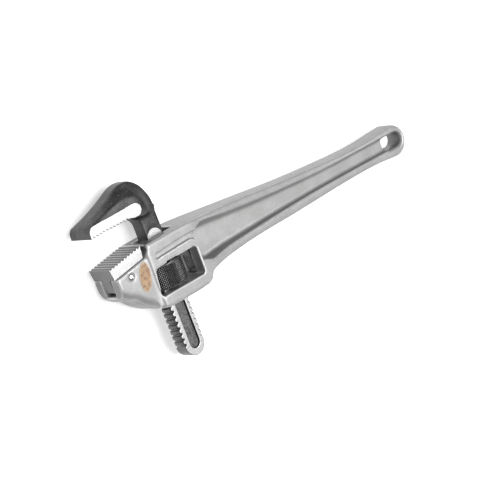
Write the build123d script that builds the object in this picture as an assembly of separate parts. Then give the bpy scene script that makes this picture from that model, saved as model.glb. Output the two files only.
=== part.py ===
from build123d import *

import math
import os

# Offset pipe wrench, 14 inch class, lying on its broad side.
# Millimetres. The shape is drawn about the adjusting nut: X runs along the handle to the
# hanging eye, Y is the way the hook jaw opens, Z is the thickness. It is then moved as a
# whole, so that the origin is under the middle of the box and z = 0 is the resting face.

# --- casting: outline and thickness ---------------------------------------------------
FACE = 19.5            # half thickness of the head
NOSE_HALF = 17.8       # half thickness of the nose that carries the heel jaw
RAMP_X = (-22.2, -20.6)          # the head steps down to the nose here
HEAD_UNDER = [(35.2, -23.4), (33.0, -26.0), (27.0, -28.0), (19.0, -28.6), (-17.0, -28.4), (-26.5, -25.2)]
HEAD_FRONT = [(-24.0, 20.2), (-19.8, 24.8), (-18.8, 30.0)]
HANDLE_RIM_RADIUS = 3.2
HEAD_RIM_RADIUS = 2.4
HANDLE_END_X = 296.3
TOP_LINE = [(20, 30.4), (55, 28.1), (102, 23.2), (149, 18.0), (198, 13.9), (236, 11.7), (264, 12.2)]
BOTTOM_LINE = [(264, -14.6), (236, -13.4), (198, -13.8), (150, -14.9), (100, -15.0), (66, -16.6),
               (37, -20.8)]
END_ARC_X = (284.0, 281.0)       # where the rounded end starts, above and below
END_ARC_Y = (13.3, -16.4)
END_HALF = 11.0                  # half thickness at the rounded end
THICKNESS_LINE = [(31, FACE), (60, 15.8), (104, 12.8), (150, 11.0), (200, 10.6), (250, 10.7),
                  (HANDLE_END_X, END_HALF)]
NOSE_LIP = (-57.2, -2.6)
NOSE_UNDER = [(-31.0, -22.4), (-36.0, -18.8), (-41.4, -13.6), (-45.0, -10.2), (-50.0, -7.8)]
BELLY_RADIUS = 8.0
WEB_HALF = 4.0
RECESS_TOP = [(34, 13.0), (38, 17.0), (50, 17.6), (80, 14.0), (120, 10.2), (150, 8.0), (180, 6.0), (225, 4.6),
              (273.5, 3.9)]
RECESS_BOTTOM = [(34, -4.5), (38, -7.8), (50, -8.0), (80, -6.4), (120, -5.6), (150, -5.3), (180, -5.1),
                 (225, -5.5), (273.5, -6.3)]
RECESS_STEPS = 24                # flats along each long wall of the recess
RECESS_SLOPES = (0.45, 0.12)     # how far the upper and lower walls lean out, per mm of height
RECESS_END_SLOPE = 0.22
EYE_X = (271.6, 290.6)
EYE_Y = (-7.2, 5.2)
EYE_CORNER = 3.5
EYE_FLARE = 1.8                  # the rim of the eye opens out by this much
EYE_FLARE_HEIGHT = 3.2

# --- window, slots and pockets in the head --------------------------------------------
WINDOW = [(-18.0, 6.8), (28.3, 8.6), (28.3, -17.3), (-21.4, -17.3)]
WINDOW_CORNER = 3.0
SLOT_HALF = 8.4        # half width of the shank slot
SLOT_X = (-14.2, 20.0)
LOWER_SLOT_X = (-14.4, 13.8)
NUT_POCKET_R = 20.2
NUT_POCKET_Y = (-17.3, 8.5)
SPRING_POCKET = (31.6, 6.9)      # back wall X and half width
CHANNEL = [(-15.5, 14.2), (-12.5, 19.2), (20, 21.2), (34, 20.8), (37, 6), (32.4, 5), (31, 12.6),
           (25.4, 15.8)]
CHANNEL_DEPTH = 2.4

# --- heel jaw -------------------------------------------------------------------------
HEEL_TILT = 8.7
HEEL_FRONT = (-59.3, 25.0)
HEEL_LENGTH = 37.7
HEEL_FOOT = 34.8
HEEL_HEIGHT = 10.4
HEEL_HALF = 15.0
TENON_HALF = 6.2
TENON_DEPTH = 12.4
TENON_SLOT_DEPTH = 15.4
HEEL_PIN_AT = (14.7, -16.3)      # along and across the tilted seat, from the front corner
HEEL_PIN_R = 2.7

LABEL_AT = (-29.9, 5.4)
LABEL_TURN = -15.0
LABEL_HALVES = (6.0, 12.8)

# --- teeth ----------------------------------------------------------------------------
TOOTH_PITCH = 3.7
TOOTH_DEPTH = 1.5

# --- hook jaw -------------------------------------------------------------------------
JAW_HALF = 14.6        # half thickness of the forging at the teeth
GROUND_HALF = 15.0     # the ground strip stands a little proud of the forging
SPINE_HALF = 7.8
TEETH_Y = 55.0
NOSE_X = -64.4
NECK_X = (-7.0, 10.2)
NECK_Y = 27.0
FLARE_Y = 49.2
SHANK_HALF = 7.2
SHANK_FACE = 10.3      # half width of the ground flats
SHANK_END_Y = -70.2    # centre of the rounded end
THREAD_TOP_Y = 25.2
GROOVE_Y = -65.5       # middle of the lowest groove on the handle side
RECESS_X = (-4.9, 5.7)
RECESS_END_Y = 16.0
RECESS_DEPTH = 2.3

# --- thread, nut and travel -----------------------------------------------------------
SHANK_R = math.hypot(SHANK_FACE, SHANK_HALF)   # outside radius of the thread
PITCH = 5.2
THREAD_DEPTH = 1.5
FLANK_TAN = math.tan(math.radians(29.0))
ROOT_HALF = 0.55       # half width of a groove at its root
THREAD_GAP = 0.3       # clearance between the nut's thread and the shank's
NUT_R = 19.0
NUT_Y = (-15.0, 6.3)
NUT_CHAMFER = 1.3

# --- springs --------------------------------------------------------------------------
LEAF_HALF = 5.6
LEAF_THICK = 0.8
COIL_Y = 18.6
COIL_R = 2.9
COIL_WIRE = 0.45
COIL_X = (16.1, 22.0)
COIL_TURNS = 5
LEAF_SEAT_X = 15.5     # handle-side face of the leaf under the coil
RIVET_R = 1.3

LEAD_ANGLE = math.degrees(math.atan(PITCH / (2 * math.pi * (SHANK_R - THREAD_DEPTH / 2))))


def slab(face, low, high):
    """Extrude a face of the XY plane between two heights."""
    return Pos(0, 0, low) * extrude(face, amount=high - low, dir=(0, 0, 1))


def both(face, half):
    return slab(face, -half, half)


def block(x, y, z):
    """Box from three (low, high) pairs."""
    size = [high - low for low, high in (x, y, z)]
    middle = [(low + high) / 2 for low, high in (x, y, z)]
    return Pos(*middle) * Box(*size)


def polygon(points):
    return make_face(Polyline(*points, close=True))


def rounded(points, radius):
    face = polygon(points)
    return fillet(face.vertices(), radius)


# ---------------------------------------------------------------------------- casting

def heel_point(along, across):
    """Point in the tilted frame of the heel jaw, from its upper front corner."""
    tilt = math.radians(HEEL_TILT)
    x = HEEL_FRONT[0] + along * math.cos(tilt) - across * math.sin(tilt)
    y = HEEL_FRONT[1] + along * math.sin(tilt) + across * math.cos(tilt)
    return (x, y)


def side_outline():
    """Head and handle seen on the broad side."""
    end_top, end_bottom = zip(END_ARC_X, END_ARC_Y)
    end_middle = (HANDLE_END_X, sum(END_ARC_Y) / 2)
    return make_face([
        Polyline(BOTTOM_LINE[-1], *HEAD_UNDER, *HEAD_FRONT, TOP_LINE[0]),
        Spline(*TOP_LINE, tangents=[(1, -0.02), (1, 0.06)]),
        Line(TOP_LINE[-1], end_top),
        ThreePointArc(end_top, end_middle, end_bottom),
        Line(end_bottom, BOTTOM_LINE[0]),
        Spline(*BOTTOM_LINE, tangents=[(-1, 0.1), (-1, -0.28)]),
    ])


def plan_outline():
    """Head and handle seen from above: how the thickness falls along the length."""
    front = HEAD_UNDER[-1][0]
    near = [Polyline((front, NOSE_HALF), (RAMP_X[0], NOSE_HALF), (RAMP_X[1], FACE), THICKNESS_LINE[0]),
            Spline(*THICKNESS_LINE, tangents=[(1, -0.05), (1, 0.01)])]
    far = [mirror(line, Plane.XZ) for line in near]
    ends = [Line((front, -NOSE_HALF), (front, NOSE_HALF)),
            Line((HANDLE_END_X, END_HALF), (HANDLE_END_X, -END_HALF))]
    return make_face(near + far + ends)


def is_handle_rim(edge):
    return 9 < abs(edge.center().Z) < FACE and edge.center().X > 40 and edge.length > 4


def is_head_rim(edge):
    """The long straight edges above and below the window."""
    on_face = abs(abs(edge.center().Z) - FACE) < 0.02
    return on_face and abs(edge.center().X) < 25 and abs(edge.center().Y) > 20 and edge.length > 30


def head_and_handle():
    side = both(side_outline(), FACE)
    plan = Rot(90, 0, 0) * both(plan_outline(), 60)
    body = side & plan
    body = fillet([edge for edge in body.edges() if is_handle_rim(edge)], HANDLE_RIM_RADIUS)
    return fillet([edge for edge in body.edges() if is_head_rim(edge)], HEAD_RIM_RADIUS)


def nose():
    """The part in front of the window, under the heel jaw: a trough with a round belly."""
    seat_left = heel_point(0.6, -HEEL_HEIGHT)
    seat_right = heel_point(HEEL_FOOT + 1.5, -HEEL_HEIGHT)
    inside = RAMP_X[1] + 0.1
    belly = HEAD_UNDER[-1]
    outline = make_face([
        Polyline(NOSE_LIP, seat_left, seat_right, (inside, 21.0), (inside, -25.0), belly),
        Spline(belly, *NOSE_UNDER, NOSE_LIP, tangents=[(-1, 0.5), (-1, 0.9)]),
    ])
    body = both(outline, NOSE_HALF)
    rim = [e for e in body.edges() if e.center().Y < -9 and abs(e.center().Z) > 1 and e.length > 20]
    return fillet(rim, BELLY_RADIUS)


def recess_wall(points):
    """Corner points along one long wall of the recess."""
    curve = Spline(*points)
    corners = [curve @ (i / RECESS_STEPS) for i in range(RECESS_STEPS + 1)]
    return [(corner.X, corner.Y) for corner in corners]


def handle_recess():
    """Pocket in the broad side of the handle, with walls that lean out."""
    top = recess_wall(RECESS_TOP)
    bottom = recess_wall(RECESS_BOTTOM)

    def ring(height):
        lean_up, lean_down = [(height - WEB_HALF) * slope for slope in RECESS_SLOPES]
        end_lean = (height - WEB_HALF) * RECESS_END_SLOPE
        upper = [(top[0][0] - end_lean, top[0][1] + lean_up)]
        upper += [(x, y + lean_up) for x, y in top[1:]]
        lower = [(x, y - lean_down) for x, y in bottom[:0:-1]]
        lower += [(bottom[0][0] - end_lean, bottom[0][1] - lean_down)]
        return Pos(0, 0, height) * polygon(upper + lower)
    return loft([ring(WEB_HALF), ring(FACE + 3)], ruled=True)


def eye_face(grow):
    left, right = EYE_X[0] - grow, EYE_X[1] + grow
    low, high = EYE_Y[0] - grow, EYE_Y[1] + grow
    bend = right - (high - low) / 2
    face = make_face([
        Polyline((bend, low), (left, low), (left, high), (bend, high)),
        ThreePointArc((bend, high), (right, (low + high) / 2), (bend, low)),
    ])
    corners = [v for v in face.vertices() if v.X < left + 0.01]
    return fillet(corners, EYE_CORNER)


def eye_cut():
    """The hanging eye goes right through and opens out at both rims."""
    deep = Pos(0, 0, END_HALF - EYE_FLARE_HEIGHT) * eye_face(0)
    flare = loft([deep, Pos(0, 0, END_HALF) * eye_face(EYE_FLARE)], ruled=True)
    return both(eye_face(0), FACE) + flare + mirror(flare, Plane.XY)


def shank_slots():
    top = polygon([(SLOT_X[0], 34), (SLOT_X[1], 34), (SLOT_X[1], 19), (25.5, 8), (SLOT_X[0], 8)])
    upper = both(top, SLOT_HALF)
    corners = [e for e in upper.edges().filter_by(Axis.Y) if e.center().Y > 20]
    upper = fillet(corners, 3.0)
    lower = block(LOWER_SLOT_X, (-32, -15), (-SLOT_HALF, SLOT_HALF))
    lower = fillet(lower.edges().filter_by(Axis.Y), 2.0)
    seat = Pos(20.6, COIL_Y, 0) * Rot(0, 90, 0) * Cylinder(COIL_R + COIL_WIRE + 0.35, 4.2)
    return upper + lower + seat


def nut_pocket():
    low, high = NUT_POCKET_Y
    pocket = Pos(0, (low + high) / 2, 0) * Rot(90, 0, 0) * Cylinder(NUT_POCKET_R, high - low)
    back, half = SPRING_POCKET
    return pocket + block((20, back), (-16.5, 8.0), (-half, half))


def channel_cut():
    """Curved groove over the window that runs down into the handle's recess."""
    return slab(rounded(CHANNEL, 1.5), FACE - CHANNEL_DEPTH, FACE + 1)


def heel_seat():
    """Slot for the tenon, open at the nose, and the pin's cross hole."""
    seat = polygon([heel_point(-6, -HEEL_HEIGHT + 12), heel_point(HEEL_FOOT + 0.3, -HEEL_HEIGHT + 12),
                    heel_point(HEEL_FOOT + 0.3, -HEEL_HEIGHT), heel_point(-6, -HEEL_HEIGHT)])
    groove = polygon([heel_point(-6, 0), heel_point(HEEL_FOOT - 2.4, 0),
                      heel_point(HEEL_FOOT - 2.4, -HEEL_HEIGHT - TENON_SLOT_DEPTH),
                      heel_point(-6, -HEEL_HEIGHT - TENON_SLOT_DEPTH)])
    hole = Pos(*heel_point(*HEEL_PIN_AT)) * Cylinder(HEEL_PIN_R + 0.02, 60)
    return both(seat, 30) + both(groove, TENON_HALF + 0.2) + hole


def handle_casting():
    body = head_and_handle() + nose()
    recess = handle_recess()
    body -= recess + mirror(recess, Plane.XY)
    window = both(rounded(WINDOW, WINDOW_CORNER), FACE + 1)
    groove = channel_cut()
    body -= window
    body -= groove
    body -= mirror(groove, Plane.XY)
    body -= eye_cut()
    body -= nut_pocket()
    body -= shank_slots()
    body -= heel_seat()
    return body


# --------------------------------------------------------------------------- heel jaw

def tooth_row(start, direction, normal, count, half):
    """V grooves across a toothed face; each cutter points into the metal along -normal."""
    cutters = []
    for i in range(count):
        at = i * TOOTH_PITCH
        x = start[0] + direction[0] * at
        y = start[1] + direction[1] * at
        lean = 0.35 * TOOTH_PITCH
        tip = (x + direction[0] * lean - normal[0] * TOOTH_DEPTH,
               y + direction[1] * lean - normal[1] * TOOTH_DEPTH)
        left = (x + normal[0] * 0.2, y + normal[1] * 0.2)
        right = (x + direction[0] * TOOTH_PITCH * 0.86 + normal[0] * 0.2,
                 y + direction[1] * TOOTH_PITCH * 0.86 + normal[1] * 0.2)
        cutters.append(both(polygon([left, tip, right]), half))
    return cutters


def heel_jaw():
    block_face = polygon([heel_point(0, 0), heel_point(HEEL_LENGTH, 0),
                          heel_point(HEEL_FOOT, -HEEL_HEIGHT), heel_point(0, -HEEL_HEIGHT)])
    tenon_face = polygon([heel_point(0.3, -HEEL_HEIGHT + 1), heel_point(HEEL_FOOT - 3, -HEEL_HEIGHT + 1),
                          heel_point(HEEL_FOOT - 3, -HEEL_HEIGHT - TENON_DEPTH),
                          heel_point(0.3, -HEEL_HEIGHT - TENON_DEPTH)])
    body = both(block_face, HEEL_HALF) + both(tenon_face, TENON_HALF)
    tilt = math.radians(HEEL_TILT)
    along = (math.cos(tilt), math.sin(tilt))
    up = (-math.sin(tilt), math.cos(tilt))
    count = int(HEEL_LENGTH / TOOTH_PITCH)
    for cutter in tooth_row(heel_point(0.5, 0), along, up, count, HEEL_HALF + 1):
        body -= cutter
    return body - Pos(*heel_point(*HEEL_PIN_AT)) * Cylinder(HEEL_PIN_R + 0.02, 60)


def heel_jaw_pin():
    pin = Pos(*heel_point(*HEEL_PIN_AT)) * Cylinder(HEEL_PIN_R, 2 * (NOSE_HALF + 0.5))
    ends = [e for e in pin.edges() if abs(e.center().Z) > NOSE_HALF]
    return fillet(ends, 1.1)


def oval_label():
    """Thin foil label on the nose."""
    face = Pos(*LABEL_AT) * Rot(0, 0, LABEL_TURN) * Ellipse(*LABEL_HALVES)
    return slab(face, NOSE_HALF + 0.02, NOSE_HALF + 0.17)


# --------------------------------------------------------------------------- hook jaw

def hook_outline(height, back, foot, throat):
    """Closed outline of the hook at one height, with the same edges at every height.

    back: three runs of points from the nose over the top to the neck, with the direction
    at each end; foot: the neck's corners; throat: points from the neck to the teeth.
    """
    runs = [Spline(*points, tangents=ends) for points, ends in back]
    first, last = back[0][0][0], back[-1][0][-1]
    face = make_face([
        Line((NOSE_X, TEETH_Y), first),
        *runs,
        Polyline(last, *foot),
        Spline(foot[-1], *throat, tangents=[(0, 1), (-1, 0.25)]),
        Line(throat[-1], (NOSE_X, TEETH_Y)),
    ])
    return Pos(0, 0, height) * face


def spine_face(height, foot_y):
    """Full outline of the forging."""
    over, level = (1, 0.38), (1, 0.0)
    back = [([(-64.2, 61.5), (-61.0, 65.6), (-50.0, 70.0), (-34.0, 76.2)], [(0.15, 1), over]),
            ([(-34.0, 76.2), (-22.0, 81.6), (-11.0, 83.9)], [over, level]),
            ([(-11.0, 83.9), (-1.4, 80.8), (5.9, 73.5), (10.3, 64.0), (11.6, 55.0)], [level, (0, -1)])]
    foot = [(NECK_X[1], FLARE_Y + 0.6), (NECK_X[1], foot_y), (NECK_X[0], foot_y)]
    throat = [(NECK_X[0], foot_y + 0.4), (-9.6, FLARE_Y), (-13.6, 52.2), (-20.5, TEETH_Y)]
    return hook_outline(height, back, foot, throat)


def jaw_face(height):
    """The thick part along the teeth."""
    over, level = (1, 0.22), (1, -0.1)
    back = [([(-64.2, 58.0), (-61.8, 63.6), (-52.0, 66.8), (-38.0, 69.8)], [(0.1, 1), over]),
            ([(-38.0, 69.8), (-27.0, 71.8), (-17.0, 72.0)], [over, level]),
            ([(-17.0, 72.0), (-9.6, 70.2), (-5.0, 66.4), (-3.0, 61.6), (-2.4, 57.0)], [level, (0, -1)])]
    foot = [(-2.6, 54.5), (-4.0, 52.6), (-6.0, 51.8)]
    throat = [(-6.6, 52.0), (-9.0, 52.4), (-13.6, 53.2), (-20.5, TEETH_Y)]
    return hook_outline(height, back, foot, throat)


def ground_strip():
    """The side of the jaw is ground flat along the teeth."""
    face = make_face([
        Line((-64.2, TEETH_Y), (-64.0, 59.0)),
        Spline((-64.0, 59.0), (-62.4, 62.6), (-58.5, 64.6), tangents=[(0, 1), (1, 0.05)]),
        Line((-58.5, 64.6), (-12.6, 65.2)),
        ThreePointArc((-12.6, 65.2), (-6.8, 59.4), (-12.6, 53.6)),
        Line((-12.6, 53.6), (-16.5, 53.6)),
        Line((-16.5, 53.6), (-20.5, TEETH_Y)),
        Line((-20.5, TEETH_Y), (-64.2, TEETH_Y)),
    ])
    return both(face, GROUND_HALF)


def hook_head():
    """Spine with rounded back, and flanks that swell out to the toothed jaw."""
    spine = both(spine_face(0, NECK_Y), SPINE_HALF)
    flank = loft([spine_face(SPINE_HALF - 1.8, FLARE_Y - 1.0), jaw_face(JAW_HALF)], ruled=True)
    return spine + flank + mirror(flank, Plane.XY) + ground_strip()


def rack_cutters():
    """Thread grooves on the two edges of the shank, tilted by the lead angle on each edge."""
    cutters = []
    root = SHANK_R - THREAD_DEPTH
    mouth = SHANK_R + 0.6
    mouth_half = ROOT_HALF + (mouth - root) * FLANK_TAN
    profile = polygon([(root, -ROOT_HALF), (mouth, -mouth_half), (mouth, mouth_half), (root, ROOT_HALF)])
    ring = revolve(profile, Axis.Y, 360)
    for side in (1, -1):
        keep = block((0, 20) if side > 0 else (-20, 0), (-6, 6), (-12, 12))
        groove = (Rot(side * LEAD_ANGLE, 0, 0) * ring) & keep
        first = GROOVE_Y if side > 0 else GROOVE_Y - PITCH / 2
        count = int((THREAD_TOP_Y - first) / PITCH) + 1
        for i in range(count):
            cutters.append(Pos(0, first + i * PITCH, 0) * groove)
    return cutters


def shank():
    length = NECK_Y - SHANK_END_Y
    rod = Pos(0, SHANK_END_Y + length / 2, 0) * Rot(90, 0, 0) * Cylinder(SHANK_R, length)
    rod = chamfer(rod.edges().sort_by(Axis.Y)[0], 3.5, SHANK_R - SHANK_FACE)
    rod = chamfer(rod.edges().sort_by(Axis.Y)[-1], 1.6)
    rod += Pos(0, SHANK_END_Y, 0) * Cylinder(SHANK_FACE, 2 * SHANK_HALF)
    body = rod & block((-20, 20), (-90, 60), (-SHANK_HALF, SHANK_HALF))
    for cutter in rack_cutters():
        body -= cutter
    return body


def shank_recess():
    width = RECESS_X[1] - RECESS_X[0]
    middle = sum(RECESS_X) / 2
    low = SHANK_END_Y - 4.0 + width / 2
    high = RECESS_END_Y - width / 2
    face = make_face([
        Line((RECESS_X[0], low), (RECESS_X[0], high)),
        ThreePointArc((RECESS_X[0], high), (middle, RECESS_END_Y), (RECESS_X[1], high)),
        Line((RECESS_X[1], high), (RECESS_X[1], low)),
        ThreePointArc((RECESS_X[1], low), (middle, low - width / 2), (RECESS_X[0], low)),
    ])
    return slab(face, SHANK_HALF - RECESS_DEPTH, SHANK_HALF + 2)


def grinding_run_out():
    """The ground flats of the shank end in a half round under the neck."""
    centre_x = 0.9
    radius = 8.4
    sweep = Pos(centre_x, 28.6, 0) * Cylinder(radius, 6)
    sweep += block((-SHANK_R, SHANK_R), (10, 28.6), (-3, 3))
    return Pos(0, 0, SHANK_HALF + 3) * sweep


def hook_jaw():
    neck = block(NECK_X, (NECK_Y - 1.0, 46.0), (-SPINE_HALF, SPINE_HALF))
    neck = fillet(neck.edges().filter_by(Axis.Y), 1.5)
    body = hook_head() + neck + shank()
    for cut in (grinding_run_out(), shank_recess()):
        body -= cut
        body -= mirror(cut, Plane.XY)
    count = int((-20.5 - NOSE_X) / TOOTH_PITCH)
    for cutter in tooth_row((NOSE_X + 1.6, TEETH_Y), (1, 0), (0, -1), count, GROUND_HALF + 1):
        body -= cutter
    return body


# -------------------------------------------------------------------------------- nut

def nut_thread_cutter():
    """Helical groove that the shank's teeth run in."""
    minor = SHANK_R - THREAD_DEPTH + THREAD_GAP
    major = SHANK_R + THREAD_GAP
    ridge = GROOVE_Y + PITCH / 2
    start = ridge + math.floor((NUT_Y[0] - PITCH - ridge) / PITCH + 0.5) * PITCH
    crest_half = PITCH / 2 - ROOT_HALF - THREAD_DEPTH * FLANK_TAN + THREAD_GAP
    inner = minor - 0.3
    inner_half = crest_half + (major - inner) * FLANK_TAN
    profile = Plane.XZ * polygon([(inner, -inner_half), (major, -crest_half), (major, crest_half),
                                  (inner, inner_half)])
    path = Helix(PITCH, NUT_Y[1] - NUT_Y[0] + 2 * PITCH, minor)
    groove = sweep(profile, path=path, is_frenet=True)
    return Pos(0, start, 0) * Rot(-90, 0, 0) * groove


def adjusting_nut():
    length = NUT_Y[1] - NUT_Y[0]
    middle = (NUT_Y[0] + NUT_Y[1]) / 2
    body = Cylinder(NUT_R, length)
    body = chamfer(body.edges(), NUT_CHAMFER)
    minor = SHANK_R - THREAD_DEPTH + THREAD_GAP
    body -= Cylinder(minor, length + 2)
    body = Pos(0, middle, 0) * Rot(90, 0, 0) * body
    return body - nut_thread_cutter()


# ---------------------------------------------------------------------------- springs

def flat_spring():
    """Leaf that leans on the back of the shank; its lower end lies in the spring pocket."""
    points = [(30.6, -13.0), (30.6, -2.0), (27.6, 4.6), (21.6, 9.2), (LEAF_SEAT_X, 13.6),
              (LEAF_SEAT_X, COIL_Y + 3.2), (SHANK_R + 1.0, 26.0), (SHANK_R + 2.2, 29.0)]
    line = FilletPolyline(*points, radius=1.4)
    strip = make_brake_formed(LEAF_THICK, 2 * LEAF_HALF, line, side=Side.LEFT)
    strip = Pos(0, 0, -LEAF_HALF) * strip
    hole = Pos(LEAF_SEAT_X, COIL_Y, 0) * Rot(0, 90, 0) * Cylinder(RIVET_R + 0.05, 6)
    return strip - hole


def spring_rivet():
    """Holds the coil's front turn on the leaf."""
    axis = Pos(0, COIL_Y, 0) * Rot(0, 90, 0)
    stem = axis * Pos(0, 0, LEAF_SEAT_X + 1.0) * Cylinder(RIVET_R, 4.4)
    head = axis * Pos(0, 0, LEAF_SEAT_X - LEAF_THICK - 0.45) * Cylinder(2.4, 0.8)
    return stem + head


def coil_spring():
    """Pushes the leaf's upper end towards the shank."""
    length = COIL_X[1] - COIL_X[0]
    path = Helix(length / COIL_TURNS, length, COIL_R)
    profile = Plane(origin=path @ 0, z_dir=path % 0) * Circle(COIL_WIRE)
    coil = sweep(profile, path=path, is_frenet=True)
    return Pos(COIL_X[0], COIL_Y, 0) * Rot(0, 90, 0) * coil


# ------------------------------------------------------------------------------ write

def main():
    parts = {
        "handle_casting": handle_casting(),
        "heel_jaw": heel_jaw(),
        "heel_jaw_pin": heel_jaw_pin(),
        "oval_label": oval_label(),
        "hook_jaw": hook_jaw(),
        "adjusting_nut": adjusting_nut(),
        "flat_spring": flat_spring(),
        "coil_spring": coil_spring(),
        "spring_rivet": spring_rivet(),
    }
    box = Compound(children=[p.moved(Location()) for p in parts.values()]).bounding_box()
    shift = (-(box.min.X + box.max.X) / 2, -(box.min.Y + box.max.Y) / 2, -box.min.Z)
    print("moved by", [round(value, 3) for value in shift])
    os.makedirs("parts", exist_ok=True)
    for name, shape in parts.items():
        export_step(Pos(*shift) * shape, "parts/" + name + ".step")


main()
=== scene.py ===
"""Looks of the offset pipe wrench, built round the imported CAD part. Lengths are metres, in its frame."""

import math

import bmesh
import bpy
import numpy as np
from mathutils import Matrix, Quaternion, Vector


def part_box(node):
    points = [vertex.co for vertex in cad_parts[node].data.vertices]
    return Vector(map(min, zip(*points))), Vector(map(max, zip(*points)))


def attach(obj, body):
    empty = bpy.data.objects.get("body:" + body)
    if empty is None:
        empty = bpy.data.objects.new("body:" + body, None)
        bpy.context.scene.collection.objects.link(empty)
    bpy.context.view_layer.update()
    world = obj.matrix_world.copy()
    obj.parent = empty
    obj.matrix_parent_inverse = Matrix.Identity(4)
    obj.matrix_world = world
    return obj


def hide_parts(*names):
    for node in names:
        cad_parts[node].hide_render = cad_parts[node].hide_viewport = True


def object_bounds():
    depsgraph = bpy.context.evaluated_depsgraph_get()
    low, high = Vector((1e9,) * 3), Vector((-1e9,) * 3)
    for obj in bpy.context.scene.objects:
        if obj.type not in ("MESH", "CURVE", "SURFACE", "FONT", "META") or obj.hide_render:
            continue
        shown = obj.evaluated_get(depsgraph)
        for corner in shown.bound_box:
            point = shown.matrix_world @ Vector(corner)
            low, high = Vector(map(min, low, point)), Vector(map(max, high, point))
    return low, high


MM = 0.001

# Even grids that the CAD surfaces are re-meshed with.
CASTING_GRID = 0.75 * MM
HOOK_GRID = 0.42 * MM
HEEL_GRID = 0.30 * MM
WELD = 0.001 * MM               # points closer than this become one

# Casting: each smoothing grows from none to full between two distances from the front of the nose.
HANDLE_FADE = (88.0 * MM, 96.0 * MM)
NOSE_FADE = (33.5 * MM, 31.5 * MM)
STEP_FADE_IN = (31.0 * MM, 33.0 * MM)
STEP_FADE_OUT = (41.0 * MM, 38.0 * MM)
STEP_HEIGHT = 15.5 * MM         # the step behind the nose is smoothed only above this, from the mid-plane
CASTING_SMOOTH = 4
HANDLE_SMOOTH = 13
NOSE_SMOOTH = 10
STEP_SMOOTH = 16

# Nut window in the casting: its middle and half sizes along X and Y.
WINDOW_MIDDLE = (-112.5 * MM, -6.0 * MM)
WINDOW_HALVES = (26.5 * MM, 14.5 * MM)

# Uneven skin of the casting and of the forging.
CASTING_SKIN = 0.10 * MM
FORGED_SKIN = 0.12 * MM
SKIN_LUMP = 5.0 * MM

# Hook jaw: heights of its ground faces above the mid-plane, and where its stretches lie below the crown.
STRIP_HALF = 15.0 * MM
SHANK_FACE = 7.2 * MM
FACE_TOLERANCE = 0.12 * MM
NECK_BELOW_TOP = 58.0 * MM      # the toothed shank begins here
RUN_OUT = 24.0 * MM             # the ground faces of the shank run this far up into the forged neck
GRIP_BELOW_TOP = (26.0 * MM, 34.0 * MM)
GRIP_FACING = -0.2              # most Y in the normal of a point on the grip
GROUND_FACING = 0.96            # least Z in the normal of a ground face
HOOK_SMOOTH = 4
FORGED_SMOOTH = 110
WORKED_SHARE = 0.12             # share of the first smoothing that reaches the worked faces

# Heel jaw.
FLANK_FACING = 0.9              # least Z in the normal of a flank
HEEL_END_FACING = -0.7          # most X in the normal of the end that faces away from the handle
HEEL_SMOOTH = 2
HEEL_PULL = 0.4

# Adjusting nut.
NUT_CHAMFER = 1.3 * MM
CHAMFER_SHARE = 0.9             # share of the chamfer that is turned clean, before the knurl starts
KNURL_COUNT = 54
KNURL_STEPS = 6
KNURL_LENGTH = 2.4 * MM
KNURL_DEPTH = 0.55 * MM
KNURL_FLAT = 0.25               # share of a diamond that is left flat on top
KNURL_RUBBED = (0.22 * MM, 0.04 * MM)   # depths below the top where rubbing starts and is full
BORE_MINOR = 11.4 * MM
BORE_MAJOR = 12.9 * MM
BORE_FLARE = 0.5 * MM           # the ends of the bore open out by this, over the depth below
BORE_FLARE_DEPTH = 0.4 * MM
BORE_ROWS = 64
THREAD_PITCH = 5.2 * MM
THREAD_START = -64.6 * MM       # height of a groove's middle on the +X side of the bore
THREAD_HALF = 1.75 * MM
THREAD_FLANK = 0.85 * MM
NUT_SHARP_ANGLE = math.radians(24.0)

# Heel jaw pin.
PIN_DOME = 0.9 * MM
PIN_STEPS = 9
PIN_COLUMNS = 64

# Oval label: half sizes, and its turn on the nose.
LABEL_HALVES = (6.0 * MM, 12.8 * MM)
LABEL_TURN = math.radians(-15.0)

# Studio.
FLOOR_HALF = 6.0
FLOOR_GAP = 0.05 * MM
FLOOR_GLOW = 0.50
WORLD_STRENGTH = 0.18

# Camera: the direction it looks in, as a compass angle and an angle below the horizon, and its roll.
CAMERA_AZIMUTH = math.radians(112.0)
CAMERA_ELEVATION = math.radians(51.9)
CAMERA_ROLL = math.radians(87.1)
CAMERA_TARGET = (-0.0268, -0.0177, 0.0195)
CAMERA_DISTANCE = 2.0868
CAMERA_LENS = 178.1             # in millimetres, as Blender takes it
CAMERA_SENSOR = 36.0            # in millimetres
CAMERA_CLIP = (0.05, 50.0)

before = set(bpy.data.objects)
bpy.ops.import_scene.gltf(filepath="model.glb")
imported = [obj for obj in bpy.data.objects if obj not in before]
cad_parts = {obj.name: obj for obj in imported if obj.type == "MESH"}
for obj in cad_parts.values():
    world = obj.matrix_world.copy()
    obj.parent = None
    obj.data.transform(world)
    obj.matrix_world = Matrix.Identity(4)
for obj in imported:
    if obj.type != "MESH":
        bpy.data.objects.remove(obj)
cad_low, cad_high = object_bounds()


# ---------------------------------------------------------------------------- mesh helpers

def add_object(name, mesh):
    piece = bpy.data.objects.new(name, mesh)
    bpy.context.scene.collection.objects.link(piece)
    return piece


def points_of(mesh):
    flat = np.empty(len(mesh.vertices) * 3)
    mesh.vertices.foreach_get("co", flat)
    return flat.reshape(-1, 3)


def set_points(mesh, points):
    mesh.vertices.foreach_set("co", points.ravel())
    mesh.update()


def normals_of(mesh):
    flat = np.empty(len(mesh.vertices) * 3)
    mesh.vertex_normals.foreach_get("vector", flat)
    return flat.reshape(-1, 3)


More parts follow.
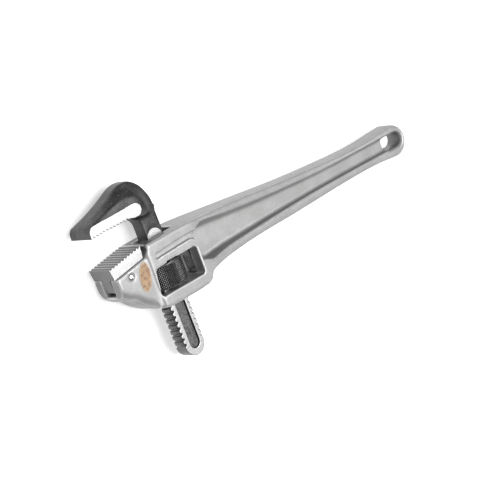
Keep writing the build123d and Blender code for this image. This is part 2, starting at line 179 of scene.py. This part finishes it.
def faces_of(mesh):
    """Middle and normal of every face."""
    middles = np.empty(len(mesh.polygons) * 3)
    normals = np.empty(len(mesh.polygons) * 3)
    mesh.polygons.foreach_get("center", middles)
    mesh.polygons.foreach_get("normal", normals)
    return middles.reshape(-1, 3), normals.reshape(-1, 3)


def apply_modifiers(piece):
    """Replaces the piece's mesh by what its modifiers make of it."""
    depsgraph = bpy.context.evaluated_depsgraph_get()
    mesh = bpy.data.meshes.new_from_object(piece.evaluated_get(depsgraph))
    piece.modifiers.clear()
    piece.data = mesh


def resurfaced(node, name, grid):
    """The CAD node's surface as an even grid of small quads that lie on it."""
    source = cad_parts[node]
    piece = add_object(name, source.data.copy())
    remesh = piece.modifiers.new("even grid", "REMESH")
    remesh.mode = "VOXEL"
    remesh.voxel_size = grid
    remesh.use_smooth_shade = True
    wrap = piece.modifiers.new("onto the surface", "SHRINKWRAP")
    wrap.target = source
    wrap.wrap_method = "NEAREST_SURFACEPOINT"
    apply_modifiers(piece)
    return piece


def relax(mesh, steps, weight=None, pull=0.5):
    """Moves each point towards the middle of its neighbours, as far as its weight says."""
    points = points_of(mesh)
    count = len(points)
    edges = np.empty(len(mesh.edges) * 2, np.int64)
    mesh.edges.foreach_get("vertices", edges)
    first, second = edges[0::2], edges[1::2]
    ends = np.concatenate([first, second])
    others = np.concatenate([second, first])
    valence = np.maximum(np.bincount(ends, minlength=count), 1)[:, None]
    share = pull if weight is None else pull * weight[:, None]
    for _ in range(steps):
        around = np.stack([np.bincount(ends, points[others, k], count) for k in range(3)], axis=1)
        points += share * (around / valence - points)
    set_points(mesh, points)


def roughen(piece, depth, size, weight=None):
    """Uneven forged or cast skin: presses the surface in by up to depth, in lumps of about size."""
    texture = bpy.data.textures.new(piece.name + "_skin", "CLOUDS")
    texture.noise_scale = size
    texture.noise_depth = 3
    displace = piece.modifiers.new("skin", "DISPLACE")
    displace.texture = texture
    displace.texture_coords = "LOCAL"
    displace.strength = depth
    displace.mid_level = 1.0
    if weight is not None:
        group = piece.vertex_groups.new(name="skin")
        for index in np.nonzero(weight > 0)[0]:
            group.add([int(index)], float(weight[index]), "REPLACE")
        displace.vertex_group = "skin"
    apply_modifiers(piece)


def ring_faces(rows, columns):
    """Quads between neighbouring rings of points, each ring closed on itself."""
    row, column = np.meshgrid(np.arange(rows - 1), np.arange(columns), indexing="ij")
    after = (column + 1) % columns
    quads = np.stack([row * columns + column, row * columns + after,
                      (row + 1) * columns + after, (row + 1) * columns + column], axis=-1)
    return quads.reshape(-1, 4)


def ringed_mesh(name, rings):
    """Smooth closed mesh through rings that have the same number of points each."""
    mesh = bpy.data.meshes.new(name)
    faces = ring_faces(len(rings), len(rings[0]))
    mesh.from_pydata(np.concatenate(rings).tolist(), [], faces.tolist())
    work = bmesh.new()
    work.from_mesh(mesh)
    bmesh.ops.remove_doubles(work, verts=work.verts, dist=WELD)
    bmesh.ops.recalc_face_normals(work, faces=work.faces)
    work.to_mesh(mesh)
    work.free()
    mesh.shade_smooth()
    return mesh


def turns(columns):
    """Angles of evenly spaced points round a ring."""
    return np.arange(columns) / columns * 2 * math.pi


def ramp(value, start, end):
    """0 at start, 1 at end, straight between and level beyond. Start may be the larger of the two."""
    return np.clip((value - start) / (end - start), 0.0, 1.0)


def paint(piece, materials, choice=None):
    """Gives the piece its materials; choice is the number of each face's material."""
    piece.data.materials.clear()
    for material in materials:
        piece.data.materials.append(material)
    if choice is not None:
        piece.data.polygons.foreach_set("material_index", choice.astype(np.int32))
        piece.data.update()


def place(piece, body, node):
    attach(piece, body)
    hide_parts(node)


# ---------------------------------------------------------------------------- material helpers

class Shade:
    """A material under construction: short calls that add nodes in object coordinates."""

    def __init__(self, name, metallic):
        self.material = bpy.data.materials.new(name)
        self.material.use_nodes = True
        self.tree = self.material.node_tree
        self.shader = self.tree.nodes["Principled BSDF"]
        self.shader.inputs["Metallic"].default_value = metallic
        coordinates = self.tree.nodes.new("ShaderNodeTexCoord")
        self.where = coordinates.outputs["Object"]
        self.normal = coordinates.outputs["Normal"]

    def set(self, socket, value):
        """Links a socket to another one, or gives it a plain value."""
        if isinstance(value, bpy.types.NodeSocket):
            self.tree.links.new(value, socket)
        else:
            socket.default_value = value

    def to_shader(self, name, value):
        self.set(self.shader.inputs[name], value)

    def noise(self, scale, detail=3.0, rough=0.55, where=None):
        node = self.tree.nodes.new("ShaderNodeTexNoise")
        self.set(node.inputs["Vector"], where or self.where)
        node.inputs["Scale"].default_value = scale
        node.inputs["Detail"].default_value = detail
        node.inputs["Roughness"].default_value = rough
        return node.outputs["Fac"]

    def streaks(self, scales, turn=0.0, detail=3.0, rough=0.6):
        """Noise with its own scale along each axis, so that it is drawn out along the smallest."""
        node = self.tree.nodes.new("ShaderNodeMapping")
        self.set(node.inputs["Vector"], self.where)
        node.inputs["Rotation"].default_value = (0.0, 0.0, turn)
        node.inputs["Scale"].default_value = scales
        return self.noise(1.0, detail, rough, node.outputs["Vector"])

    def cells(self, scale):
        node = self.tree.nodes.new("ShaderNodeTexVoronoi")
        self.set(node.inputs["Vector"], self.where)
        node.inputs["Scale"].default_value = scale
        return node.outputs["Distance"]

    def pointed(self):
        """Below 0.5 in hollows, above 0.5 on edges."""
        return self.tree.nodes.new("ShaderNodeNewGeometry").outputs["Pointiness"]

    def axes(self, vector):
        """X, Y and Z of a vector."""
        node = self.tree.nodes.new("ShaderNodeSeparateXYZ")
        self.set(node.inputs[0], vector)
        return node.outputs

    def facing_up(self):
        """1 on faces that look along the thickness of the wrench, 0 on its narrow sides."""
        z = self.axes(self.normal)[2]
        return self.times(z, z)

    def outside_window(self):
        """0 on the walls of the nut window, 1 on the rest of the casting."""
        past = []
        for value, middle, half in zip(self.axes(self.where), WINDOW_MIDDLE, WINDOW_HALVES):
            away = self.maths("ABSOLUTE", self.maths("SUBTRACT", value, middle), 0.0)
            past.append(self.maths("GREATER_THAN", away, half))
        return self.maths("MAXIMUM", *past)

    def spread(self, value, low, high, to_low=0.0, to_high=1.0):
        """Maps low..high to to_low..to_high with soft ends. Low may be the larger of the two."""
        node = self.tree.nodes.new("ShaderNodeMapRange")
        node.interpolation_type = "SMOOTHSTEP"
        self.set(node.inputs["Value"], value)
        for name, number in zip(("From Min", "From Max", "To Min", "To Max"), (low, high, to_low, to_high)):
            node.inputs[name].default_value = number
        return node.outputs["Result"]

    def maths(self, kind, first, second):
        node = self.tree.nodes.new("ShaderNodeMath")
        node.operation = kind
        self.set(node.inputs[0], first)
        self.set(node.inputs[1], second)
        return node.outputs[0]

    def times(self, first, second):
        return self.maths("MULTIPLY", first, second)

    def plus(self, first, second):
        return self.maths("ADD", first, second)

    def minus(self, first, second):
        return self.maths("SUBTRACT", first, second)

    def mix(self, share, first, second):
        """The first colour where share is 0, the second where it is 1."""
        node = self.tree.nodes.new("ShaderNodeMix")
        node.data_type = "RGBA"
        self.set(node.inputs["Factor"], share)
        colours = [socket for socket in node.inputs if socket.type == "RGBA"]
        self.set(colours[0], first)
        self.set(colours[1], second)
        return [socket for socket in node.outputs if socket.type == "RGBA"][0]

    def bump(self, height, depth, strength=1.0, after=None):
        node = self.tree.nodes.new("ShaderNodeBump")
        node.inputs["Strength"].default_value = strength
        node.inputs["Distance"].default_value = depth
        self.set(node.inputs["Height"], height)
        if after is not None:
            self.set(node.inputs["Normal"], after)
        return node.outputs["Normal"]


def grey(value, warmth=0.0):
    return (value * (1 + warmth), value, value * (1 - warmth), 1.0)


# ---------------------------------------------------------------------------- materials

def cast_aluminium():
    """Tumbled sand casting: fine grain, faint clouds and polished edges, with painted shade in the hollows
    and on the narrow sides.
    """
    s = Shade("cast_aluminium", metallic=0.36)
    grain = s.noise(scale=1500, detail=3, rough=0.6)
    pits = s.spread(s.cells(scale=850), 0.05, 0.28)
    # painted shade: the hollows and recesses of the casting are darkened
    painted_hollow_shade = s.spread(s.pointed(), 0.40, 0.485)
    # painted shade: the narrow sides that look across the thickness are darkened, except the walls of the
    # nut window
    side = s.times(s.spread(s.facing_up(), 0.22, 0.03), s.outside_window())
    rubbed = s.spread(s.pointed(), 0.506, 0.54)
    clouds = s.spread(s.noise(scale=55, detail=4), 0.35, 0.65)
    base = s.mix(clouds, grey(0.40, warmth=0.004), grey(0.46, warmth=0.002))
    base = s.mix(s.spread(grain, 0.35, 0.65), s.mix(0.40, base, grey(0.20)), base)
    # the painted shade in the hollows goes into the base colour
    base = s.mix(painted_hollow_shade, grey(0.20), base)
    # the painted shade on the narrow sides goes into the base colour
    base = s.mix(s.times(side, 0.75), base, grey(0.17))
    base = s.mix(s.times(rubbed, 0.8), base, grey(0.78))
    s.to_shader("Base Color", base)
    rough = s.spread(grain, 0.25, 0.75, to_low=0.34, to_high=0.46)
    s.to_shader("Roughness", s.minus(rough, s.times(rubbed, 0.10)))
    skin = s.bump(grain, depth=0.05 * MM, strength=0.6)
    s.to_shader("Normal", s.bump(pits, depth=0.05 * MM, strength=0.35, after=skin))
    return s.material


def forged_steel():
    """Black oxide over a hammered skin, mottled, rubbed brighter on the edges."""
    s = Shade("forged_steel", metallic=0.6)
    fleck = s.noise(scale=900, detail=4, rough=0.65)
    mottle = s.spread(s.noise(scale=110, detail=6, rough=0.6), 0.34, 0.70)
    rubbed = s.spread(s.plus(s.pointed(), s.times(fleck, 0.03)), 0.525, 0.56)
    base = s.mix(mottle, grey(0.038), grey(0.075))
    base = s.mix(s.times(s.spread(fleck, 0.50, 0.70), 0.5), base, grey(0.18))
    base = s.mix(s.times(rubbed, 0.22), base, grey(0.30))
    s.to_shader("Base Color", base)
    s.to_shader("Roughness", s.spread(fleck, 0.3, 0.7, to_low=0.36, to_high=0.50))
    skin = s.bump(s.noise(scale=420, detail=5, rough=0.6), depth=0.06 * MM, strength=0.4)
    s.to_shader("Normal", s.bump(fleck, depth=0.04 * MM, strength=0.4, after=skin))
    return s.material


def ground_steel(name, value, turn=0.0):
    """Surface-ground flat: bright, with fine parallel wheel marks along X, turned about Z."""
    s = Shade(name, metallic=0.75)
    marks = s.streaks((90, 5200, 5200), turn)
    blotch = s.noise(scale=260, detail=3)
    base = s.mix(s.spread(marks, 0.3, 0.7), grey(value * 0.86), grey(value * 1.08))
    base = s.mix(s.spread(blotch, 0.60, 0.80), base, grey(value * 0.78))
    s.to_shader("Base Color", base)
    s.to_shader("Roughness", s.spread(marks, 0.3, 0.7, to_low=0.26, to_high=0.42))
    s.to_shader("Normal", s.bump(marks, depth=0.02 * MM, strength=0.35))
    return s.material


def milled_teeth(name, low, high):
    """Cut gripping teeth: cutter lines between two greys, painted shade in the roots and rubbed crests."""
    s = Shade(name, metallic=0.7)
    marks = s.streaks((700, 700, 4200))
    # painted shade: the roots between the teeth are darkened
    painted_root_shade = s.spread(s.pointed(), 0.40, 0.49)
    crest = s.spread(s.pointed(), 0.53, 0.60)
    base = s.mix(s.spread(marks, 0.3, 0.7), grey(low), grey(high))
    base = s.mix(painted_root_shade, grey(low * 0.35), base)
    base = s.mix(s.times(crest, 0.6), base, grey(min(high * 1.7, 0.8)))
    s.to_shader("Base Color", base)
    s.to_shader("Roughness", s.spread(marks, 0.3, 0.7, to_low=0.30, to_high=0.48))
    s.to_shader("Normal", s.bump(marks, depth=0.03 * MM, strength=0.4))
    return s.material


def nut_steel(centre, radius):
    """Blackened knurl, oily, with the tops of the diamonds rubbed bright."""
    s = Shade("nut_steel", metallic=0.8)
    where = s.axes(s.where)
    x = s.minus(where[0], centre.x)
    z = s.minus(where[2], centre.z)
    from_axis = s.maths("POWER", s.plus(s.times(x, x), s.times(z, z)), 0.5)
    rubbed = s.spread(from_axis, radius - KNURL_RUBBED[0], radius - KNURL_RUBBED[1])
    fleck = s.noise(scale=700, detail=4, rough=0.6)
    base = s.mix(s.spread(fleck, 0.35, 0.7), grey(0.025), grey(0.06))
    base = s.mix(s.times(rubbed, 0.65), base, grey(0.30))
    s.to_shader("Base Color", base)
    s.to_shader("Roughness", s.spread(fleck, 0.3, 0.7, to_low=0.20, to_high=0.34))
    s.to_shader("Normal", s.bump(fleck, depth=0.03 * MM, strength=0.3))
    return s.material


def nut_edge():
    """Turned chamfer of the nut, rubbed bright."""
    s = Shade("nut_edge", metallic=0.9)
    marks = s.streaks((300, 6000, 300), detail=2, rough=0.5)
    s.to_shader("Base Color", s.mix(marks, grey(0.40), grey(0.62)))
    s.to_shader("Roughness", s.spread(marks, 0.3, 0.7, to_low=0.24, to_high=0.36))
    return s.material


def pin_steel():
    """Polished steel with fine flecks."""
    s = Shade("pin_steel", metallic=1.0)
    fleck = s.noise(scale=1600, detail=3)
    s.to_shader("Base Color", s.mix(s.spread(fleck, 0.4, 0.75), grey(0.80), grey(0.52)))
    s.to_shader("Roughness", s.spread(fleck, 0.3, 0.7, to_low=0.14, to_high=0.26))
    s.to_shader("Normal", s.bump(fleck, depth=0.02 * MM, strength=0.3))
    return s.material


def spring_steel():
    """Spring stock: dark rolled faces, and bright narrow faces that look along the thickness: bare sheared
    edges with a painted glint.
    """
    s = Shade("spring_steel", metallic=0.85)
    # painted glint: faces that look along the thickness of the wrench are painted bright, on top of the
    # bare sheared edges
    edge = s.spread(s.facing_up(), 0.5, 0.9)
    lines = s.streaks((2400, 120, 4200))
    dark = s.mix(s.spread(lines, 0.3, 0.7), grey(0.05), grey(0.12))
    s.to_shader("Base Color", s.mix(edge, dark, grey(0.72)))
    s.to_shader("Roughness", s.spread(lines, 0.3, 0.7, to_low=0.20, to_high=0.34))
    s.to_shader("Normal", s.bump(lines, depth=0.02 * MM, strength=0.3))
    return s.material


def label_foil(centre):
    """Worn oval sticker: blotchy tan inside a faded cream border, with no lettering."""
    s = Shade("label_foil", metallic=0.1)
    tan, orange = (0.27, 0.15, 0.085, 1.0), (0.48, 0.31, 0.17, 1.0)
    dust, cream = (0.46, 0.37, 0.27, 1.0), (0.52, 0.42, 0.32, 1.0)
    on_label = s.tree.nodes.new("ShaderNodeMapping")
    on_label.vector_type = "TEXTURE"
    on_label.inputs["Location"].default_value = centre
    on_label.inputs["Rotation"].default_value = (0.0, 0.0, LABEL_TURN)
    s.set(on_label.inputs["Vector"], s.where)
    where = s.axes(on_label.outputs["Vector"])
    across = s.maths("DIVIDE", where[0], LABEL_HALVES[0])
    along = s.maths("DIVIDE", where[1], LABEL_HALVES[1])
    outwards = s.plus(s.times(across, across), s.times(along, along))
    blotch = s.spread(s.noise(scale=300, detail=5, rough=0.65), 0.38, 0.62)
    speck = s.spread(s.noise(scale=900, detail=4, rough=0.7), 0.46, 0.60)
    border = s.spread(s.plus(outwards, s.times(blotch, 0.06)), 0.74, 0.90)
    face = s.mix(blotch, tan, orange)
    face = s.mix(s.times(speck, 0.5), face, dust)
    face = s.mix(s.times(border, 0.65), face, cream)
    s.to_shader("Base Color", face)
    s.to_shader("Roughness", s.spread(speck, 0.0, 1.0, to_low=0.42, to_high=0.60))
    s.to_shader("Normal", s.bump(speck, depth=0.03 * MM, strength=0.3))
    return s.material


def pale_floor():
    """Matt white ground with a little light of its own."""
    s = Shade("pale_floor", metallic=0.0)
    s.to_shader("Base Color", s.mix(s.noise(scale=8, detail=2), grey(0.90), grey(0.92)))
    s.to_shader("Roughness", 0.9)
    s.to_shader("Emission Color", grey(1.0))
    s.to_shader("Emission Strength", FLOOR_GLOW)
    return s.material


# ---------------------------------------------------------------------------- pieces

def handle():
    """One-piece aluminium casting with softened edges and an uneven cast skin."""
    piece = resurfaced("handle_casting", "cast_body", CASTING_GRID)
    mesh = piece.data
    low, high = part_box("handle_casting")
    along = points_of(mesh)[:, 0] - low.x
    relax(mesh, CASTING_SMOOTH)
    relax(mesh, HANDLE_SMOOTH, ramp(along, *HANDLE_FADE))
    relax(mesh, NOSE_SMOOTH, ramp(along, *NOSE_FADE))
    near_face = abs(points_of(mesh)[:, 2] - (low.z + high.z) / 2) > STEP_HEIGHT
    relax(mesh, STEP_SMOOTH, near_face * ramp(along, *STEP_FADE_IN) * ramp(along, *STEP_FADE_OUT))
    roughen(piece, CASTING_SKIN, SKIN_LUMP)
    paint(piece, [cast_aluminium()])
    place(piece, "handle", "handle_casting")


def forged_points(mesh, top, middle):
    """True at the points of the hook's forged skin, clear of its ground flats and its teeth."""
    points = points_of(mesh)
    below = top - points[:, 1]
    height = abs(points[:, 2] - middle)
    grip = (below > GRIP_BELOW_TOP[0]) & (below < GRIP_BELOW_TOP[1])
    grip &= normals_of(mesh)[:, 1] < GRIP_FACING
    run_out = below > NECK_BELOW_TOP - RUN_OUT
    run_out &= abs(height - SHANK_FACE) < 2 * FACE_TOLERANCE
    inside = height < STRIP_HALF - 2 * FACE_TOLERANCE
    return (below < NECK_BELOW_TOP) & inside & ~grip & ~run_out


def hook_choice(mesh, top, middle):
    """Material of each face of the hook: 0 forged, 1 ground, 2 toothed."""
    middles, normals = faces_of(mesh)
    below = top - middles[:, 1]
    height = abs(middles[:, 2] - middle)
    flat = abs(normals[:, 2]) > GROUND_FACING
    strip = flat & (abs(height - STRIP_HALF) < FACE_TOLERANCE)
    shank = flat & (abs(height - SHANK_FACE) < FACE_TOLERANCE)
    shank &= below > NECK_BELOW_TOP - RUN_OUT
    toothed = (below > NECK_BELOW_TOP) & ~shank
    return np.where(strip | shank, 1, np.where(toothed, 2, 0))


def hook():
    """Forged hook with ground side strips and a toothed shank."""
    piece = resurfaced("hook_jaw", "hook_forging", HOOK_GRID)
    low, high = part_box("hook_jaw")
    middle = (low.z + high.z) / 2
    forged = forged_points(piece.data, high.y, middle)
    choice = hook_choice(piece.data, high.y, middle)
    relax(piece.data, HOOK_SMOOTH, np.where(forged, 1.0, WORKED_SHARE))
    relax(piece.data, FORGED_SMOOTH, forged.astype(float))
    roughen(piece, FORGED_SKIN, SKIN_LUMP, forged.astype(float))
    flats = ground_steel("ground_flats", 0.56)
    teeth = milled_teeth("shank_teeth", 0.07, 0.16)
    paint(piece, [forged_steel(), flats, teeth], choice)
    place(piece, "hook", "hook_jaw")


def heel():
    """Heel jaw insert: ground flanks, a row of cut teeth and a dark end."""
    piece = resurfaced("heel_jaw", "heel_jaw_insert", HEEL_GRID)
    relax(piece.data, HEEL_SMOOTH, pull=HEEL_PULL)
    low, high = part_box("heel_jaw")
    middles, normals = faces_of(piece.data)
    from_middle = abs(middles[:, 2] - (low.z + high.z) / 2)
    flank = from_middle > (high.z - low.z) / 2 - FACE_TOLERANCE
    flank &= abs(normals[:, 2]) > FLANK_FACING
    end = normals[:, 0] < HEEL_END_FACING
    flats = ground_steel("heel_flank", 0.56, turn=0.15)
    teeth = milled_teeth("heel_teeth", 0.34, 0.52)
    dark = milled_teeth("heel_end", 0.12, 0.19)
    paint(piece, [flats, teeth, dark], np.where(flank, 0, np.where(end, 2, 1)))
    place(piece, "handle", "heel_jaw")


def knurled_radius(angle, along, radius):
    """Diamond knurl with flat tops, as a radius at each angle and length along the nut."""
    turn = angle / (2 * math.pi) * KNURL_COUNT
    step = along / KNURL_LENGTH
    grooves = [abs((turn + side * step) % 1.0 - 0.5) * 2 for side in (-1, 1)]
    deepest = np.maximum(*grooves)
    return radius - KNURL_DEPTH * np.clip((deepest - KNURL_FLAT) / (1 - KNURL_FLAT), 0, 1)


def thread_radius(angle, height):
    """Bore radius: a helical groove that clears the shank's teeth."""
    middle = THREAD_START + THREAD_PITCH * angle / (2 * math.pi)
    offset = (height - middle + THREAD_PITCH / 2) % THREAD_PITCH - THREAD_PITCH / 2
    depth = np.clip((THREAD_HALF + THREAD_FLANK - abs(offset)) / THREAD_FLANK, 0, 1)
    return BORE_MINOR + (BORE_MAJOR - BORE_MINOR) * depth


def nut_profile(low, high, radius, angle):
    """Height and radii of each ring: up the outside of the nut, down its bore, and back to the first."""
    chamfer_end = CHAMFER_SHARE * NUT_CHAMFER
    collar = np.full(len(angle), radius - NUT_CHAMFER)
    rim = np.full(len(angle), radius - NUT_CHAMFER + chamfer_end)
    flare = np.full(len(angle), BORE_MAJOR + BORE_FLARE)
    knurl = np.arange(low + NUT_CHAMFER, high - NUT_CHAMFER, KNURL_LENGTH / KNURL_STEPS)
    bore = np.linspace(high - BORE_FLARE_DEPTH, low + BORE_FLARE_DEPTH, BORE_ROWS)
    profile = [(low, collar), (low + chamfer_end, rim)]
    profile += [(y, knurled_radius(angle, y, radius)) for y in knurl]
    profile += [(high - chamfer_end, rim), (high, collar), (high, flare)]
    profile += [(y, thread_radius(angle, y)) for y in bore]
    profile += [(low, flare), (low, collar)]
    return profile


def nut():
    """Knurled adjusting nut with a threaded bore, made as rings of points round the Y axis."""
    low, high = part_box("adjusting_nut")
    centre = (low + high) / 2
    radius = (high.x - low.x) / 2
    angle = turns(KNURL_COUNT * KNURL_STEPS)
    rings = []
    for y, r in nut_profile(low.y, high.y, radius, angle):
        level = np.full(len(angle), y)
        rings.append(np.stack([centre.x + r * np.cos(angle), level, centre.z - r * np.sin(angle)], axis=1))
    mesh = ringed_mesh("knurled_nut", rings)
    mesh.set_sharp_from_angle(angle=NUT_SHARP_ANGLE)
    piece = add_object("knurled_nut", mesh)
    middles, _ = faces_of(mesh)
    from_axis = np.hypot(middles[:, 0] - centre.x, middles[:, 2] - centre.z)
    from_end = np.minimum(middles[:, 1] - low.y, high.y - middles[:, 1])
    edge = (from_axis > radius - NUT_CHAMFER) & (from_end < CHAMFER_SHARE * NUT_CHAMFER)
    paint(piece, [nut_steel(centre, radius), nut_edge()], edge)
    place(piece, "nut", "adjusting_nut")


def pin():
    """Heel jaw pin with domed, polished ends."""
    low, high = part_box("heel_jaw_pin")
    centre = (low + high) / 2
    radius = (high.x - low.x) / 2
    half = (high.z - low.z) / 2
    bend = np.linspace(0.0, math.pi / 2, PIN_STEPS)
    upper = list(zip(radius * np.sin(bend), half - PIN_DOME + PIN_DOME * np.cos(bend)))
    lower = [(r, -z) for r, z in reversed(upper)]
    angle = turns(PIN_COLUMNS)
    rings = []
    for r, z in upper + lower:
        level = np.full(len(angle), centre.z + z)
        rings.append(np.stack([centre.x + r * np.cos(angle), centre.y + r * np.sin(angle), level], axis=1))
    piece = add_object("domed_pin", ringed_mesh("domed_pin", rings))
    paint(piece, [pin_steel()])
    place(piece, "handle", "heel_jaw_pin")


def carried_nodes():
    """Springs, rivet and label keep their CAD meshes and get procedural materials."""
    steel = spring_steel()
    for node in ("flat_spring", "coil_spring", "spring_rivet"):
        paint(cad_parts[node], [steel])
    low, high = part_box("oval_label")
    paint(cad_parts["oval_label"], [label_foil((low + high) / 2)])


# ---------------------------------------------------------------------------- studio

def floor():
    corners = [(-FLOOR_HALF, -FLOOR_HALF, 0), (FLOOR_HALF, -FLOOR_HALF, 0),
               (FLOOR_HALF, FLOOR_HALF, 0), (-FLOOR_HALF, FLOOR_HALF, 0)]
    mesh = bpy.data.meshes.new("floor")
    mesh.from_pydata(corners, [], [(0, 1, 2, 3)])
    piece = add_object("floor", mesh)
    piece.location.z = cad_low.z - FLOOR_GAP
    paint(piece, [pale_floor()])


def area_light(name, position, side, power):
    """Square light that points at the frame's origin, under the middle of the part."""
    data = bpy.data.lights.new(name, "AREA")
    data.shape = "SQUARE"
    data.size = side
    data.energy = power
    lamp = bpy.data.objects.new(name, data)
    lamp.location = position
    lamp.rotation_mode = "QUATERNION"
    lamp.rotation_quaternion = (-Vector(position)).to_track_quat("-Z", "Y")
    bpy.context.scene.collection.objects.link(lamp)


def studio():
    scene = bpy.context.scene
    scene.view_settings.view_transform = "Standard"
    world = bpy.data.worlds.new("studio")
    world.use_nodes = True
    background = world.node_tree.nodes["Background"]
    background.inputs["Color"].default_value = grey(1.0)
    background.inputs["Strength"].default_value = WORLD_STRENGTH
    scene.world = world
    area_light("overhead", position=(0.15, 0.1, 1.6), side=1.3, power=31)
    area_light("tail_side", position=(1.4, -0.9, 1.1), side=0.8, power=3)


def camera():
    across = math.cos(CAMERA_ELEVATION)
    forward = Vector((math.sin(CAMERA_AZIMUTH) * across,
                      math.cos(CAMERA_AZIMUTH) * across,
                      -math.sin(CAMERA_ELEVATION)))
    data = bpy.data.cameras.new("camera")
    data.lens = CAMERA_LENS
    data.sensor_width = CAMERA_SENSOR
    data.clip_start, data.clip_end = CAMERA_CLIP
    view = bpy.data.objects.new("camera", data)
    view.location = Vector(CAMERA_TARGET) - forward * CAMERA_DISTANCE
    view.rotation_mode = "QUATERNION"
    view.rotation_quaternion = forward.to_track_quat("-Z", "Y") @ Quaternion((0, 0, 1), CAMERA_ROLL)
    bpy.context.scene.collection.objects.link(view)
    bpy.context.scene.camera = view


handle()
hook()
heel()
nut()
pin()
carried_nodes()
floor()
studio()
camera()
